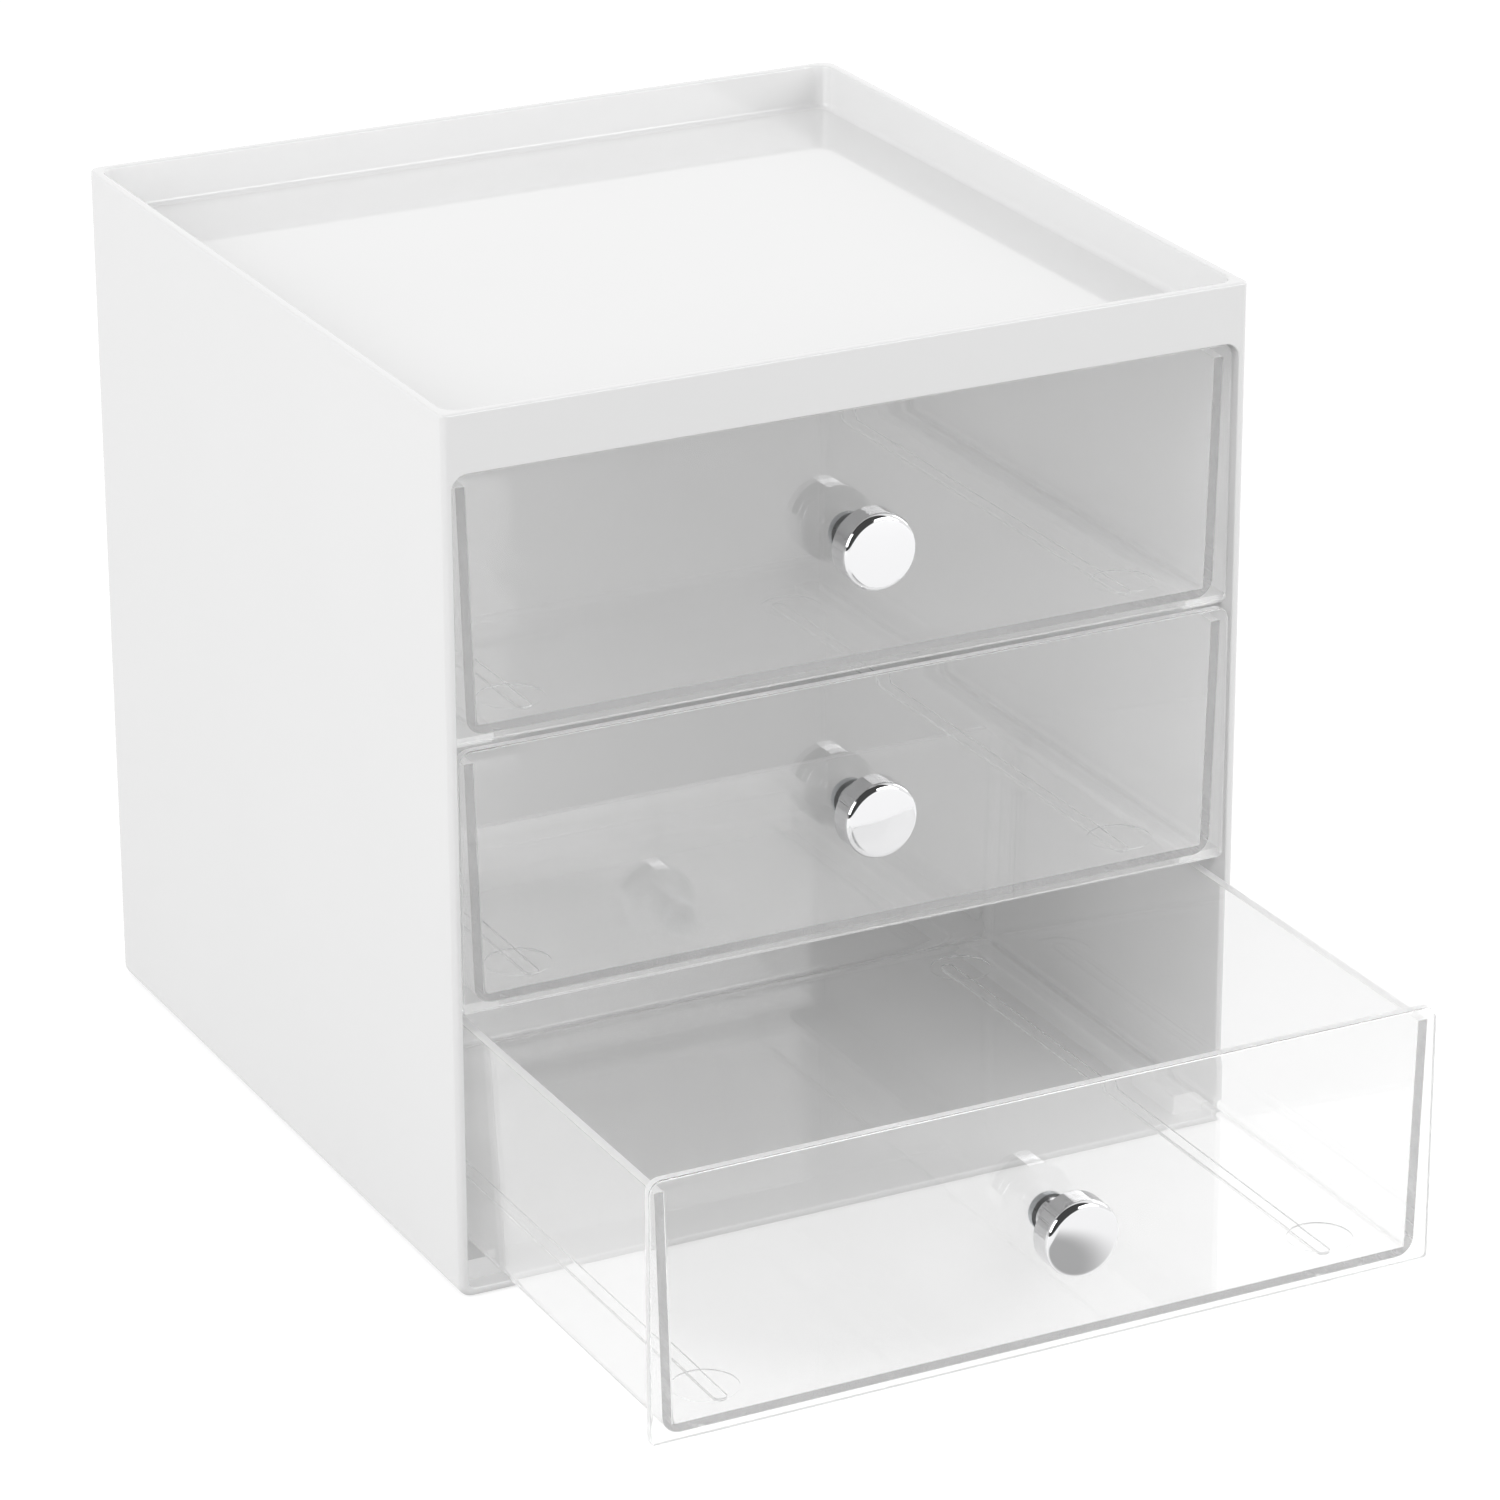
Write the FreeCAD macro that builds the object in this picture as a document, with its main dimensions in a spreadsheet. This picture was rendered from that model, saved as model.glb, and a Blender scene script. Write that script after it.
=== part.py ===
import FreeCAD, Part
import os
import Sketcher

# Countertop organizer: a white case with a tray on top and three clear drawers with chrome knobs.
# Frame: x to the right, y from the front to the back, z up. The origin is on the surface that the
# case stands on, at the centre of the case's footprint. Millimetres.

V = FreeCAD.Vector
TOUCH = 0.01          # two lengths closer than this count as the same when edges are picked

doc = FreeCAD.newDocument("organizer")
sheet = doc.addObject("Spreadsheet::Sheet", "Sizes")

SIZES = [
    # the case
    ("case_width", 165.0),
    ("case_depth", 168.0),
    ("case_height", 173.0),
    ("wall", 1.8),
    ("deck_thickness", 2.6),
    ("tray_depth", 9.0),
    ("rim_wall", 1.95),
    ("rim_rounding", 0.45),
    ("tray_corner_radius", 3.5),
    ("tray_floor_radius", 1.2),
    ("bay_top_radius", 3.0),
    ("bay_floor_radius", 1.5),
    ("front_edge_radius", 1.2),
    ("back_edge_radius", 3.0),
    ("base_edge_radius", 2.75),
    ("ledge_width", 8.7),
    ("ledge_thickness", 2.0),
    # the drawers
    ("panel_thickness", 1.8),
    ("panel_side_gap", 0.3),
    ("panel_top_gap", 0.4),
    ("panel_gap", 0.8),
    ("panel_base_gap", 3.1),
    ("panel_floor_radius", 1.0),
    ("panel_rounding", 0.4),
    ("closed_recess", 1.6),
    ("stop_gap", 0.3),
    ("slide_gap", 0.3),
    ("back_gap", 2.2),
    ("box_side_inset", 1.5),
    ("box_floor_inset", 1.3),
    ("box_floor_rise", 1.2),
    ("box_top_drop", 2.8),
    ("box_wall", 1.75),
    ("box_corner_radius", 3.5),
    ("box_inner_radius", 1.2),
    ("box_back_radius", 3.0),
    ("runner_offset", 62.7),
    ("runner_width", 2.6),
    ("runner_height", 0.9),
    ("runner_inset", 8.0),
    ("mark_offset", 64.0),
    ("mark_setback", 12.4),
    ("mark_diameter", 12.5),
    ("mark_depth", 0.3),
    # the knobs and their screws
    ("knob_diameter", 15.0),
    ("knob_length", 11.5),
    ("knob_head", 5.8),
    ("knob_dome", 0.3),
    ("knob_front_radius", 1.3),
    ("knob_back_radius", 0.6),
    ("knob_neck", 7.0),
    ("knob_neck_radius", 0.8),
    ("knob_rise", 1.3),
    ("bore_depth", 8.0),
    ("screw_diameter", 4.0),
    ("screw_reach", 6.5),
    ("screw_head", 7.6),
    ("screw_head_height", 2.4),
    ("screw_head_radius", 1.4),
    ("screw_point", 0.6),
    ("thread_gap", 0.05),
    ("hole_gap", 0.25),
    # how far each drawer stands open
    ("top_out", 0.0),
    ("middle_out", 1.2),
    ("bottom_out", 77.3),
]

for row, (alias, size) in enumerate(SIZES, start=1):
    sheet.set("A%d" % row, alias)
    sheet.set("B%d" % row, str(size))
    sheet.setAlias("B%d" % row, alias)
doc.recompute()


def size_of(expression):
    """The number that an expression of the sheet's sizes comes to."""
    result = sheet.evalExpression(expression)
    return float(getattr(result, "Value", result))


# Lengths that follow from the sheet, as expressions that the features are bound to.
BAY_HALF = "(Sizes.case_width / 2 - Sizes.wall)"
BAY_TOP = "(Sizes.case_height - Sizes.tray_depth - Sizes.deck_thickness)"
FRONT = "(Sizes.case_depth / 2)"
PANEL_HALF = "(%s - Sizes.panel_side_gap)" % BAY_HALF
PANEL_STACK = "(%s - Sizes.wall - Sizes.panel_top_gap - Sizes.panel_base_gap)" % BAY_TOP
PANEL_HEIGHT = "((%s - 2 * Sizes.panel_gap) / 3)" % PANEL_STACK
PITCH = "(%s + Sizes.panel_gap)" % PANEL_HEIGHT
PANEL_FLOOR = "(Sizes.wall + Sizes.panel_base_gap)"
LEDGE_TOP = "(%s + Sizes.box_floor_rise - Sizes.slide_gap)" % PANEL_FLOOR
LEDGE_FRONT = "(Sizes.closed_recess + Sizes.panel_thickness + Sizes.stop_gap)"
DRAWER_LENGTH = "(Sizes.case_depth - Sizes.wall - Sizes.back_gap - Sizes.closed_recess)"
BOX_TOP_HALF = "(%s - Sizes.box_side_inset)" % PANEL_HALF
BOX_FLOOR_HALF = "(%s - Sizes.box_floor_inset)" % BOX_TOP_HALF
BOX_TOP = "(%s - Sizes.box_top_drop)" % PANEL_HEIGHT
FLOOR_TOP = "(Sizes.box_floor_rise + Sizes.box_wall)"
KNOB_HEIGHT = "(%s / 2 + Sizes.knob_rise)" % PANEL_HEIGHT


def new_body(label):
    """An empty body with its label, which also names its file."""
    body = doc.addObject("PartDesign::Body", label)
    body.Label = label
    return body


def new_sketch(body, name, plane, lift="0"):
    """A sketch on one of the body's own origin planes, moved along the plane's normal by lift."""
    sketch = body.newObject("Sketcher::SketchObject", name)
    support = [item for item in body.Origin.OriginFeatures if item.Role == plane][0]
    sketch.AttachmentSupport = [(support, "")]
    sketch.MapMode = "FlatFace"
    if lift != "0":
        sketch.setExpression("AttachmentOffset.Base.z", lift)
    return sketch


def bind(sketch, constraint, name, expression):
    """Adds a dimension, names it and ties it to the sheet."""
    index = sketch.addConstraint(constraint)
    sketch.renameConstraint(index, name)
    sketch.setExpression("Constraints." + name, expression)


def place_point(sketch, item, end, direction, expression, name):
    """Sets one coordinate of a point, measured from the sketch's origin."""
    if expression == "0":
        axis = -2 if direction == "X" else -1
        sketch.addConstraint(Sketcher.Constraint("PointOnObject", item, end, axis))
        return
    length = size_of(expression)
    kind = "Distance" + direction
    if length > 0:
        bind(sketch, Sketcher.Constraint(kind, -1, 1, item, end, length), name, expression)
    else:
        bind(sketch, Sketcher.Constraint(kind, item, end, -1, 1, -length), name, "-" + expression)


def draw_outline(sketch, tag, corners):
    """A closed outline of straight lines through corners given as pairs of expressions."""
    points = [V(size_of(across), size_of(along), 0) for across, along in corners]
    first = sketch.GeometryCount
    count = len(points)
    for step in range(count):
        sketch.addGeometry(Part.LineSegment(points[step], points[(step + 1) % count]), False)
    for step in range(count):
        after = first + (step + 1) % count
        sketch.addConstraint(Sketcher.Constraint("Coincident", first + step, 2, after, 1))
    for step, (across, along) in enumerate(corners):
        place_point(sketch, first + step, 1, "X", across, "%s_x%d" % (tag, step))
        place_point(sketch, first + step, 1, "Y", along, "%s_y%d" % (tag, step))


def draw_box(sketch, tag, left, right, low, high):
    """A rectangle between four expressions."""
    draw_outline(sketch, tag, [(left, low), (right, low), (right, high), (left, high)])


def draw_circle(sketch, tag, across, along, diameter):
    """A circle at a place given by two expressions."""
    centre = V(size_of(across), size_of(along), 0)
    item = sketch.addGeometry(Part.Circle(centre, V(0, 0, 1), size_of(diameter) / 2), False)
    place_point(sketch, item, 3, "X", across, tag + "_x")
    place_point(sketch, item, 3, "Y", along, tag + "_y")
    bind(sketch, Sketcher.Constraint("Diameter", item, size_of(diameter)), tag + "_width", diameter)


def grow(body, kind, name, sketch, length, reverse=False):
    """A pad or a pocket of a sketch, to a length given as an expression."""
    feature = body.newObject("PartDesign::" + kind, name)
    feature.Profile = sketch
    feature.Type = "Length"
    feature.Length = size_of(length)
    feature.setExpression("Length", length)
    feature.Reversed = reverse
    sketch.Visibility = False
    before = body.Shape.Volume if kind == "Pocket" else 0.0
    doc.recompute()
    after = feature.Shape.Volume
    if kind == "Pocket" and not after < before:
        raise RuntimeError(name + " takes nothing away")
    return feature


def turn(body, name, sketch):
    """A full turn of a sketch about its own upright axis."""
    feature = body.newObject("PartDesign::Revolution", name)
    feature.Profile = sketch
    feature.ReferenceAxis = (sketch, ["V_Axis"])
    feature.Angle = 360.0
    sketch.Visibility = False
    doc.recompute()
    return feature


def same(one, other):
    """True when two lengths agree."""
    return abs(one - other) < TOUCH


def along(edge, axis):
    """True for a straight edge that runs along one axis."""
    box = edge.BoundBox
    spans = {"X": box.XLength, "Y": box.YLength, "Z": box.ZLength}
    return all(span < TOUCH for name, span in spans.items() if name != axis)


def round_edges(body, name, radius, chosen):
    """Rounds the edges of the body that the given test chooses."""
    tip = body.Tip
    names = ["Edge%d" % n for n, edge in enumerate(tip.Shape.Edges, start=1) if chosen(edge)]
    if not names:
        raise RuntimeError(name + " finds no edge")
    feature = body.newObject("PartDesign::Fillet", name)
    feature.Base = (tip, names)
    feature.Radius = size_of(radius)
    feature.setExpression("Radius", radius)
    doc.recompute()
    if "Invalid" in feature.State:
        raise RuntimeError(name + " can't be rounded")
    return feature


def make_case():
    """The white case: shell, drawer bay, tray on top and three pairs of ledges."""
    body = new_body("case")
    half = size_of("Sizes.case_width / 2")
    front = -size_of(FRONT)
    back = size_of(FRONT)
    height = size_of("Sizes.case_height")

    sketch = new_sketch(body, "case_footprint", "XY_Plane")
    draw_box(sketch, "block", "-(Sizes.case_width / 2)", "(Sizes.case_width / 2)",
             "-" + FRONT, FRONT)
    grow(body, "Pad", "case_block", sketch, "Sizes.case_height")
    round_edges(body, "case_back_corners", "Sizes.back_edge_radius",
                lambda e: along(e, "Z") and same(e.CenterOfMass.y, back))
    round_edges(body, "case_base_edges", "Sizes.base_edge_radius",
                lambda e: same(e.BoundBox.ZMax, 0) and (along(e, "Y") or e.CenterOfMass.y > 0))
    round_edges(body, "case_front_corners", "Sizes.front_edge_radius",
                lambda e: along(e, "Z") and same(e.CenterOfMass.y, front))

    sketch = new_sketch(body, "bay_opening", "XZ_Plane", FRONT)
    draw_box(sketch, "bay", "-" + BAY_HALF, BAY_HALF, "Sizes.wall", BAY_TOP)
    grow(body, "Pocket", "drawer_bay", sketch, "(Sizes.case_depth - Sizes.wall)")
    inside = size_of(BAY_HALF)
    ceiling = size_of(BAY_TOP)
    floor = size_of("Sizes.wall")
    round_edges(body, "bay_top_corners", "Sizes.bay_top_radius",
                lambda e: along(e, "Y") and same(abs(e.CenterOfMass.x), inside)
                and same(e.CenterOfMass.z, ceiling))
    round_edges(body, "bay_floor_corners", "Sizes.bay_floor_radius",
                lambda e: along(e, "Y") and same(abs(e.CenterOfMass.x), inside)
                and same(e.CenterOfMass.z, floor))


    sketch = new_sketch(body, "tray_outline", "XY_Plane", "Sizes.case_height")
    rim_x = "(Sizes.case_width / 2 - Sizes.rim_wall)"
    rim_y = "(Sizes.case_depth / 2 - Sizes.rim_wall)"
    draw_box(sketch, "tray", "-" + rim_x, rim_x, "-" + rim_y, rim_y)
    grow(body, "Pocket", "tray", sketch, "Sizes.tray_depth")
    deck = size_of("(Sizes.case_height - Sizes.tray_depth)")
    reach = size_of(rim_x)
    round_edges(body, "tray_corners", "Sizes.tray_corner_radius",
                lambda e: along(e, "Z") and same(abs(e.CenterOfMass.x), reach))
    round_edges(body, "tray_floor_edge", "Sizes.tray_floor_radius",
                lambda e: same(e.BoundBox.ZMin, deck) and same(e.BoundBox.ZMax, deck))

    sketch = new_sketch(body, "ledge_section", "XZ_Plane", "(%s - %s)" % (FRONT, LEDGE_FRONT))
    inner = "(%s - Sizes.ledge_width)" % BAY_HALF
    outer = "(%s + Sizes.wall / 2)" % BAY_HALF
    under = "(%s - Sizes.ledge_thickness)" % LEDGE_TOP
    draw_box(sketch, "right", inner, outer, under, LEDGE_TOP)
    draw_box(sketch, "left", "-" + outer, "-" + inner, under, LEDGE_TOP)
    run = "(Sizes.case_depth - Sizes.wall / 2 - %s)" % LEDGE_FRONT
    ledges = grow(body, "Pad", "ledges", sketch, run, reverse=True)
    pattern = body.newObject("PartDesign::LinearPattern", "ledge_rows")
    pattern.Originals = [ledges]
    upright = [item for item in body.Origin.OriginFeatures if item.Role == "Z_Axis"][0]
    pattern.Direction = (upright, [""])
    pattern.Occurrences = 3
    pattern.Length = size_of("2 * " + PITCH)
    pattern.setExpression("Length", "2 * " + PITCH)
    body.Tip = pattern
    doc.recompute()

    sketch = new_sketch(body, "foot_section", "XZ_Plane", "(%s - %s)" % (FRONT, LEDGE_FRONT))
    low = "(Sizes.wall / 2)"
    level = "(%s - Sizes.ledge_thickness / 2)" % LEDGE_TOP
    draw_box(sketch, "right", inner, outer, low, level)
    draw_box(sketch, "left", "-" + outer, "-" + inner, low, level)
    grow(body, "Pad", "ledge_feet", sketch, run, reverse=True)

    round_edges(body, "rim_edges", "Sizes.rim_rounding",
                lambda e: same(e.BoundBox.ZMin, height) and same(e.BoundBox.ZMax, height))
    return body


def make_drawer(label, out, row):
    """A clear drawer: a thick front with a thinner, drafted box behind it."""
    body = new_body(label)
    side = size_of(PANEL_HALF)
    top = size_of(PANEL_HEIGHT)
    length = size_of(DRAWER_LENGTH)

    sketch = new_sketch(body, label + "_front", "XZ_Plane")
    draw_box(sketch, "front", "-" + PANEL_HALF, PANEL_HALF, "0", PANEL_HEIGHT)
    grow(body, "Pad", label + "_panel", sketch, "Sizes.panel_thickness", reverse=True)
    round_edges(body, label + "_panel_top", "(Sizes.bay_top_radius - Sizes.panel_side_gap)",
                lambda e: along(e, "Y") and same(e.CenterOfMass.z, top))
    round_edges(body, label + "_panel_floor", "Sizes.panel_floor_radius",
                lambda e: along(e, "Y") and same(e.CenterOfMass.z, 0))
    round_edges(body, label + "_panel_edge", "Sizes.panel_rounding",
                lambda e: same(e.BoundBox.YMin, 0) and same(e.BoundBox.YMax, 0))

    joint = "(Sizes.panel_thickness / 2)"
    sketch = new_sketch(body, label + "_box", "XZ_Plane", "-" + joint)
    draw_outline(sketch, "box", [("-" + BOX_FLOOR_HALF, "Sizes.box_floor_rise"),
                                 (BOX_FLOOR_HALF, "Sizes.box_floor_rise"),
                                 (BOX_TOP_HALF, BOX_TOP),
                                 ("-" + BOX_TOP_HALF, BOX_TOP)])
    grow(body, "Pad", label + "_block", sketch, "(%s - %s)" % (DRAWER_LENGTH, joint), reverse=True)
    rise = size_of("Sizes.box_floor_rise")
    round_edges(body, label + "_back_corners", "Sizes.box_back_radius",
                lambda e: same(e.BoundBox.YMin, length) and e.BoundBox.ZLength > 2 * rise)
    round_edges(body, label + "_floor_corners", "Sizes.box_corner_radius",
                lambda e: same(e.BoundBox.ZMax, rise) and e.CenterOfMass.y > 2 * rise)

    sketch = new_sketch(body, label + "_room", "XZ_Plane", "-Sizes.panel_thickness")
    room_floor = "(%s - Sizes.box_wall)" % BOX_FLOOR_HALF
    room_top = "(%s - Sizes.box_wall)" % BOX_TOP_HALF
    draw_outline(sketch, "room", [("-" + room_floor, FLOOR_TOP), (room_floor, FLOOR_TOP),
                                  (room_top, BOX_TOP), ("-" + room_top, BOX_TOP)])
    room_length = "(%s - Sizes.panel_thickness - Sizes.box_wall)" % DRAWER_LENGTH
    grow(body, "Pocket", label + "_inside", sketch, room_length)
    inner_floor = size_of(FLOOR_TOP)
    room_back = size_of("(%s - Sizes.box_wall)" % DRAWER_LENGTH)
    room_half = size_of(room_top)

    def inner_corner(edge):
        """An edge at the foot of the room, or one that stands at its back."""
        box = edge.BoundBox
        within = box.XMax < room_half + TOUCH and box.XMin > -room_half - TOUCH
        foot = same(box.ZMin, inner_floor) and same(box.ZMax, inner_floor)
        stands = same(box.YMin, room_back) and same(box.YMax, room_back) and box.ZLength > 2 * rise
        return within and (foot or stands)

    round_edges(body, label + "_inner_corners", "Sizes.box_inner_radius", inner_corner)

    sketch = new_sketch(body, label + "_runner_plan", "XY_Plane", "Sizes.box_floor_rise")
    finish = "(%s - Sizes.runner_inset)" % DRAWER_LENGTH
    near = "(Sizes.runner_offset - Sizes.runner_width / 2)"
    far = "(Sizes.runner_offset + Sizes.runner_width / 2)"
    draw_box(sketch, "right", near, far, "Sizes.runner_inset", finish)
    draw_box(sketch, "left", "-" + far, "-" + near, "Sizes.runner_inset", finish)
    grow(body, "Pad", label + "_runners", sketch, "Sizes.runner_height", reverse=True)
    inset = size_of("Sizes.runner_inset")
    end = size_of(finish)
    round_edges(body, label + "_runner_ends", "(Sizes.runner_width * 0.45)",
                lambda e: along(e, "Z") and e.CenterOfMass.z < rise
                and (same(e.CenterOfMass.y, inset) or same(e.CenterOfMass.y, end)))

    sketch = new_sketch(body, label + "_mark_plan", "XY_Plane", FLOOR_TOP)
    rear = "(%s - Sizes.mark_setback)" % DRAWER_LENGTH
    for place, setback in (("front", "Sizes.mark_setback"), ("rear", rear)):
        draw_circle(sketch, place + "_right", "Sizes.mark_offset", setback, "Sizes.mark_diameter")
        draw_circle(sketch, place + "_left", "-Sizes.mark_offset", setback, "Sizes.mark_diameter")
    grow(body, "Pocket", label + "_marks", sketch, "Sizes.mark_depth")

    sketch = new_sketch(body, label + "_hole_plan", "XZ_Plane")
    draw_circle(sketch, "hole", "0", KNOB_HEIGHT, "(Sizes.screw_diameter + 2 * Sizes.hole_gap)")
    grow(body, "Pocket", label + "_screw_hole", sketch, "Sizes.panel_thickness")

    set_place(body, out, row, "0")
    return body


def set_place(body, out, row, lift):
    """Puts a piece of a drawer at its row and its distance out of the case."""
    body.setExpression("Placement.Base.y", "Sizes.closed_recess - %s - Sizes.%s" % (FRONT, out))
    body.setExpression("Placement.Base.z", "%s + %d * %s + %s" % (PANEL_FLOOR, row, PITCH, lift))
    doc.recompute()


def make_knob(label, out, row):
    """A knob: a thick disc with a slightly domed face on a neck with a blind bore."""
    body = new_body(label)
    sketch = new_sketch(body, label + "_section", "XY_Plane")
    bore = "(Sizes.screw_diameter / 2 + Sizes.thread_gap)"
    neck = "(Sizes.knob_neck / 2)"
    rim = "(Sizes.knob_diameter / 2)"
    shoulder = "-(Sizes.knob_length - Sizes.knob_head)"
    face = "-Sizes.knob_length"
    crown = "-(Sizes.knob_length + Sizes.knob_dome)"
    draw_outline(sketch, "half", [("0", "-Sizes.bore_depth"), (bore, "-Sizes.bore_depth"),
                                  (bore, "0"), (neck, "0"), (neck, shoulder), (rim, shoulder),
                                  (rim, face), ("0", face)])
    turn(body, label + "_blank", sketch)
    head = size_of("Sizes.knob_diameter / 2")
    front = -size_of("Sizes.knob_length")
    back = size_of(shoulder)
    thin = size_of(neck)
    round_edges(body, label + "_face_edge", "Sizes.knob_front_radius",
                lambda e: same(e.BoundBox.YMin, front) and same(e.BoundBox.YMax, front)
                and same(e.BoundBox.XMax, head))
    round_edges(body, label + "_rim_edge", "Sizes.knob_back_radius",
                lambda e: same(e.BoundBox.YMin, back) and same(e.BoundBox.YMax, back)
                and same(e.BoundBox.XMax, head))
    round_edges(body, label + "_neck_edge", "Sizes.knob_neck_radius",
                lambda e: same(e.BoundBox.YMin, back) and same(e.BoundBox.YMax, back)
                and same(e.BoundBox.XMax, thin))

    sketch = new_sketch(body, label + "_dome_section", "XY_Plane")
    flat = "(Sizes.knob_diameter / 2 - Sizes.knob_front_radius)"
    ball = "((%s ^ 2 + Sizes.knob_dome ^ 2) / (2 * Sizes.knob_dome))" % flat
    radius = size_of(ball)
    crown_y = size_of(crown)
    edge_x = size_of(flat)
    middle_x = edge_x / 2
    middle_y = crown_y + radius - (radius ** 2 - middle_x ** 2) ** 0.5
    arc = Part.Arc(V(0, crown_y, 0), V(middle_x, middle_y, 0), V(edge_x, front, 0))
    first = sketch.addGeometry(arc, False)
    sketch.addGeometry(Part.LineSegment(V(edge_x, front, 0), V(0, front, 0)), False)
    sketch.addGeometry(Part.LineSegment(V(0, front, 0), V(0, crown_y, 0)), False)
    ends = {"low": 1, "high": 2}
    if same(sketch.getPoint(first, 1).x, edge_x):
        ends = {"low": 2, "high": 1}
    sketch.addConstraint(Sketcher.Constraint("Coincident", first, ends["high"], first + 1, 1))
    sketch.addConstraint(Sketcher.Constraint("Coincident", first + 1, 2, first + 2, 1))
    sketch.addConstraint(Sketcher.Constraint("Coincident", first + 2, 2, first, ends["low"]))
    sketch.addConstraint(Sketcher.Constraint("PointOnObject", first, 3, -2))
    place_point(sketch, first + 1, 1, "X", flat, "dome_edge_x")
    place_point(sketch, first + 1, 1, "Y", face, "dome_edge_y")
    place_point(sketch, first + 2, 1, "X", "0", "dome_axis_x")
    place_point(sketch, first + 2, 1, "Y", face, "dome_axis_y")
    place_point(sketch, first + 2, 2, "X", "0", "dome_top_x")
    bind(sketch, Sketcher.Constraint("Radius", first, radius), "dome_ball", ball)
    turn(body, label + "_dome", sketch)

    set_place(body, out, row, KNOB_HEIGHT)
    return body


def make_screw(label, out, row):
    """The screw that holds a knob from inside the drawer."""
    body = new_body(label)
    sketch = new_sketch(body, label + "_section", "XY_Plane")
    shank = "(Sizes.screw_diameter / 2)"
    head = "(Sizes.screw_head / 2)"
    seat = "Sizes.panel_thickness"
    crown = "(Sizes.panel_thickness + Sizes.screw_head_height)"
    tip = "-Sizes.screw_reach"
    taper = "(Sizes.screw_diameter / 2 - Sizes.screw_point)"
    draw_outline(sketch, "half", [("0", tip), (taper, tip),
                                  (shank, "-(Sizes.screw_reach - Sizes.screw_point)"),
                                  (shank, seat), (head, seat), (head, crown), ("0", crown)])
    turn(body, label + "_blank", sketch)
    top = size_of(crown)
    reach = size_of(head)
    round_edges(body, label + "_head_edge", "Sizes.screw_head_radius",
                lambda e: same(e.BoundBox.YMin, top) and same(e.BoundBox.YMax, top)
                and same(e.BoundBox.XMax, reach))
    set_place(body, out, row, KNOB_HEIGHT)
    return body


ROWS = [("bottom", 0), ("middle", 1), ("top", 2)]
pieces = [make_case()]
for level, row in ROWS:
    pieces.append(make_drawer("drawer_" + level, level + "_out", row))
    pieces.append(make_knob("knob_" + level, level + "_out", row))
    pieces.append(make_screw("screw_" + level, level + "_out", row))
doc.recompute()

for item in doc.Objects:
    if "Invalid" in item.State or "Error" in item.State:
        raise RuntimeError(item.Label + " did not rebuild")
for piece in pieces:
    if piece.Shape.isNull() or not piece.Shape.isValid():
        raise RuntimeError(piece.Label + " has no valid shape")
    if len(piece.Shape.Solids) != 1:
        raise RuntimeError(piece.Label + " is not one solid")

os.makedirs("parts", exist_ok=True)
for piece in pieces:
    piece.Shape.exportStep("parts/%s.step" % piece.Label)
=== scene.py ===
import math

import bmesh
import bpy
from bpy.props import FloatProperty, FloatVectorProperty, IntProperty, PointerProperty
from mathutils import Matrix, Vector


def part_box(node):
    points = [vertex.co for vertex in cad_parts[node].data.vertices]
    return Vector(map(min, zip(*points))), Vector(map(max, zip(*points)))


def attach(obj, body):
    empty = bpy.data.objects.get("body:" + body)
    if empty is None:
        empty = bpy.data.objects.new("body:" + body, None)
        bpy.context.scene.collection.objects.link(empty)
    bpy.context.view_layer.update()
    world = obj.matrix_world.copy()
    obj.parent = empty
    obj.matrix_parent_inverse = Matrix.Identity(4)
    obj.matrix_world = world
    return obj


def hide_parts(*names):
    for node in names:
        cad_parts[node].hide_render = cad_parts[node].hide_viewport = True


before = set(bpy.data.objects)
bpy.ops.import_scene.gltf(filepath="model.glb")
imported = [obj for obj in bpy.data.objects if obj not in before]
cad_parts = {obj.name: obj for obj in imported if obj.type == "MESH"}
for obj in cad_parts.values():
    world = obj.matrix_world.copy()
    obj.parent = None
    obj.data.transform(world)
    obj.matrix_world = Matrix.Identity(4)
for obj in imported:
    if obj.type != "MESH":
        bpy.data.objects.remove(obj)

bl_info = {
    "name": "Drawer organizer",
    "version": (1, 0, 0),
    "blender": (4, 5, 0),
    "location": "3D View > Sidebar > Organizer",
    "description": "Builds a white countertop organizer with a tray top and three clear drawers",
    "category": "Object",
}

# The frame of the part: x to the right, y from front to back, z up, metres. The origin is on the
# surface that the case stands on, at the centre of the case's footprint.

MM = 0.001
ROWS = ("top", "middle", "bottom")
RUNNING_GAP = 0.3 * MM  # between a drawer's underside and its ledges
OVERSHOOT = 5 * MM  # how far a cutting tool reaches past what it cuts
WHITE = (1, 1, 1, 1)
COLOUR_A, COLOUR_B, COLOUR_MIXED = 6, 7, 2  # sockets of a Mix node that mixes colours
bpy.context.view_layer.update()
CASE_LOW, CASE_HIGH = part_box("case")


def hex_colour(text):
    """An sRGB hex value as the linear colour that Blender's sockets take."""
    channels = [int(text[i:i + 2], 16) / 255 for i in (1, 3, 5)]
    return tuple(c / 12.92 if c <= 0.04045 else ((c + 0.055) / 1.055) ** 2.4 for c in channels)


def opaque(channels):
    """A colour of three channels with the fourth that a socket takes."""
    return tuple(channels) + (1.0,)


def length(name, description, default_mm):
    """A length property with its default given in millimetres."""
    return FloatProperty(name=name, description=description, default=default_mm * MM,
                         min=0.0, unit="LENGTH", subtype="DISTANCE")


def colour(name, description, default):
    """A colour property with its default given as sRGB hex."""
    return FloatVectorProperty(name=name, description=description, default=hex_colour(default),
                               min=0.0, max=1.0, size=3, subtype="COLOR")


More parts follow.
